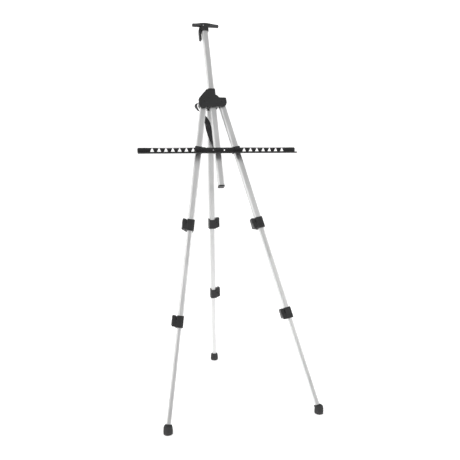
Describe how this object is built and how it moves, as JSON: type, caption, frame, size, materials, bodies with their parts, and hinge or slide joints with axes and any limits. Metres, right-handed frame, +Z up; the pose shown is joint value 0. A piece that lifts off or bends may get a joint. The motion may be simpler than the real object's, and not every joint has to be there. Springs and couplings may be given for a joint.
{
  "type": "flipchart easel",
  "caption": "Telescopic tripod easel with a sliding mast, a T-shaped head, flip-lever leg locks and a notched ledge tray with folding wings.",
  "frame": {"origin": "on the floor under the middle of the easel's bounding box", "axes": "+Z up, -Y towards the person facing the chart, +X to that person's right"},
  "size_m": [0.696, 0.7998, 1.6031],
  "materials": {
    "aluminium": "satin anodised",
    "plastic": "fine moulded texture",
    "rubber": "matt",
    "steel": "plain rivets and pins",
    "black_steel": "blackened pins",
    "webbing": "woven polyester webbing"
  },
  "bodies": {
    "hub": {"hub_body": "plastic", "left_leg_pin": "black_steel", "right_leg_pin": "black_steel", "rear_leg_pin": "black_steel", "carry_strap": "webbing", "strap_top_rivet": "steel"},
    "mast_clamp": {"mast_clamp_lever": "plastic"},
    "mast": {"mast_tube": "aluminium", "mast_end_cap": "plastic", "head_lock_housing": "plastic", "mast_rivet": "steel"},
    "head": {"head_tube": "aluminium", "head_tube_plug": "plastic", "head_bar": "plastic", "head_pad_left": "rubber", "head_pad_right": "rubber"},
    "head_lever": {"head_lock_lever": "plastic"},
    "left_leg_upper": {"left_leg_knuckle": "plastic", "left_leg_upper_tube": "aluminium", "left_leg_upper_lock_housing": "plastic"},
    "left_leg_middle": {"left_leg_middle_tube": "aluminium", "left_leg_middle_plug": "plastic", "left_leg_lower_lock_housing": "plastic"},
    "left_leg_lower": {"left_leg_lower_tube": "aluminium", "left_leg_lower_plug": "plastic", "left_leg_foot": "rubber"},
    "left_leg_upper_lever": {"left_leg_upper_lock_lever": "plastic"},
    "left_leg_lower_lever": {"left_leg_lower_lock_lever": "plastic"},
    "right_leg_upper": {"right_leg_knuckle": "plastic", "right_leg_upper_tube": "aluminium", "right_leg_upper_lock_housing": "plastic"},
    "right_leg_middle": {"right_leg_middle_tube": "aluminium", "right_leg_middle_plug": "plastic", "right_leg_lower_lock_housing": "plastic"},
    "right_leg_lower": {"right_leg_lower_tube": "aluminium", "right_leg_lower_plug": "plastic", "right_leg_foot": "rubber"},
    "right_leg_upper_lever": {"right_leg_upper_lock_lever": "plastic"},
    "right_leg_lower_lever": {"right_leg_lower_lock_lever": "plastic"},
    "rear_leg_upper": {"rear_leg_knuckle": "plastic", "rear_leg_upper_tube": "aluminium", "rear_leg_upper_lock_housing": "plastic", "strap_bottom_rivet": "steel"},
    "rear_leg_middle": {"rear_leg_middle_tube": "aluminium", "rear_leg_middle_plug": "plastic", "rear_leg_lower_lock_housing": "plastic"},
    "rear_leg_lower": {"rear_leg_lower_tube": "aluminium", "rear_leg_lower_plug": "plastic", "rear_leg_foot": "rubber"},
    "rear_leg_upper_lever": {"rear_leg_upper_lock_lever": "plastic"},
    "rear_leg_lower_lever": {"rear_leg_lower_lock_lever": "plastic"},
    "left_clip": {"left_clip": "plastic"},
    "right_clip": {"right_clip": "plastic"},
    "tray": {"tray_centre_bar": "plastic", "tray_screw_left": "plastic", "tray_screw_right": "plastic"},
    "left_wing": {"left_tray_wing": "plastic"},
    "right_wing": {"right_tray_wing": "plastic"}
  },
  "joints": [
    {"name": "mast_slide", "type": "slide", "parent": "hub", "child": "mast", "axis": [0, 0.4384, 0.8988], "range_m": [-0.24, 0.3]},
    {"name": "mast_clamp_flip", "type": "hinge", "parent": "hub", "child": "mast_clamp", "pos_m": [-0.0223, 0.23292, 1.27523], "axis": [0, -0.8988, 0.4384], "range_deg": [-100, 0]},
    {"name": "head_slide", "type": "slide", "parent": "mast", "child": "head", "axis": [0, 0.4384, 0.8988], "range_m": [0, 0.26]},
    {"name": "head_lever_flip", "type": "hinge", "parent": "mast", "child": "head_lever", "pos_m": [-0.023, 0.37692, 1.57048], "axis": [0, -0.8988, 0.4384], "range_deg": [-80, 0]},
    {"name": "left_leg_fold", "type": "hinge", "parent": "hub", "child": "left_leg_upper", "pos_m": [-0.0404, 0.20793, 1.224], "axis": [0, -0.8988, 0.4384], "range_deg": [0, 10.4]},
    {"name": "left_leg_middle_slide", "type": "slide", "parent": "left_leg_upper", "child": "left_leg_middle", "axis": [0.1874, 0.4306, 0.8829], "range_m": [0, 0.32]},
    {"name": "left_leg_lower_slide", "type": "slide", "parent": "left_leg_middle", "child": "left_leg_lower", "axis": [0.1874, 0.4306, 0.8829], "range_m": [0, 0.32]},
    {"name": "left_leg_upper_lever_flip", "type": "hinge", "parent": "left_leg_upper", "child": "left_leg_upper_lever", "pos_m": [-0.17389, -0.04644, 0.70246], "axis": [0, 0.8988, -0.4384], "range_deg": [-105, 0]},
    {"name": "left_leg_lower_lever_flip", "type": "hinge", "parent": "left_leg_middle", "child": "left_leg_lower_lever", "pos_m": [-0.24594, -0.21714, 0.35247], "axis": [0, 0.8988, -0.4384], "range_deg": [-105, 0]},
    {"name": "right_leg_fold", "type": "hinge", "parent": "hub", "child": "right_leg_upper", "pos_m": [0.0404, 0.20793, 1.224], "axis": [0, 0.8988, -0.4384], "range_deg": [0, 10.4]},
    {"name": "right_leg_middle_slide", "type": "slide", "parent": "right_leg_upper", "child": "right_leg_middle", "axis": [-0.1874, 0.4306, 0.8829], "range_m": [0, 0.32]},
    {"name": "right_leg_lower_slide", "type": "slide", "parent": "right_leg_middle", "child": "right_leg_lower", "axis": [-0.1874, 0.4306, 0.8829], "range_m": [0, 0.32]},
    {"name": "right_leg_upper_lever_flip", "type": "hinge", "parent": "right_leg_upper", "child": "right_leg_upper_lever", "pos_m": [0.12989, -0.05012, 0.69492], "axis": [0, 0.8988, -0.4384], "range_deg": [-105, 0]},
    {"name": "right_leg_lower_lever_flip", "type": "hinge", "parent": "right_leg_middle", "child": "right_leg_lower_lever", "pos_m": [0.20625, -0.22046, 0.34567], "axis": [0, 0.8988, -0.4384], "range_deg": [-105, 0]},
    {"name": "rear_leg_fold", "type": "hinge", "parent": "hub", "child": "rear_leg_upper", "pos_m": [0, 0.26793, 1.25], "axis": [-1, 0, 0], "range_deg": [0, 21.5], "deforming": ["carry_strap"]},
    {"name": "rear_leg_middle_slide", "type": "slide", "parent": "rear_leg_upper", "child": "rear_leg_middle", "axis": [0, 0.0576, 0.9983], "range_m": [-0.03, 0.22]},
    {"name": "rear_leg_lower_slide", "type": "slide", "parent": "rear_leg_middle", "child": "rear_leg_lower", "axis": [0, 0.0576, 0.9983], "range_m": [-0.03, 0.22]},
    {"name": "rear_leg_upper_lever_flip", "type": "hinge", "parent": "rear_leg_upper", "child": "rear_leg_upper_lever", "pos_m": [0.0224, 0.23368, 0.65599], "axis": [0, -0.9983, 0.0576], "range_deg": [-105, 0]},
    {"name": "rear_leg_lower_lever_flip", "type": "hinge", "parent": "rear_leg_middle", "child": "rear_leg_lower_lever", "pos_m": [0.0202, 0.21428, 0.31955], "axis": [0, -0.9983, 0.0576], "range_deg": [-105, 0]},
    {"name": "left_clip_slide", "type": "slide", "parent": "left_leg_upper", "child": "left_clip", "axis": [0.1874, 0.4306, 0.8829], "range_m": [-0.06, 0.06]},
    {"name": "right_clip_slide", "type": "slide", "parent": "right_leg_upper", "child": "right_clip", "axis": [-0.1874, 0.4306, 0.8829], "range_m": [-0.06, 0.06]},
    {"name": "tray_pivot", "type": "hinge", "parent": "left_clip", "child": "tray", "pos_m": [-0.0846, 0.10687, 1.0168], "axis": [0, -0.8988, 0.4384], "range_deg": [-10.4, 0]},
    {"name": "left_wing_fold", "type": "hinge", "parent": "tray", "child": "left_wing", "pos_m": [-0.0846, 0.07543, 1.0168], "axis": [0, 1, 0], "range_deg": [0, 90]},
    {"name": "right_wing_fold", "type": "hinge", "parent": "tray", "child": "right_wing", "pos_m": [0.0846, 0.07543, 1.0168], "axis": [0, -1, 0], "range_deg": [0, 90]}
  ],
  "couplings": [
    {"joint": "right_clip_slide", "follows": "left_clip_slide", "ratio": 1},
    {"joint": "tray_pivot", "follows": "left_leg_fold", "ratio": -1}
  ]
}
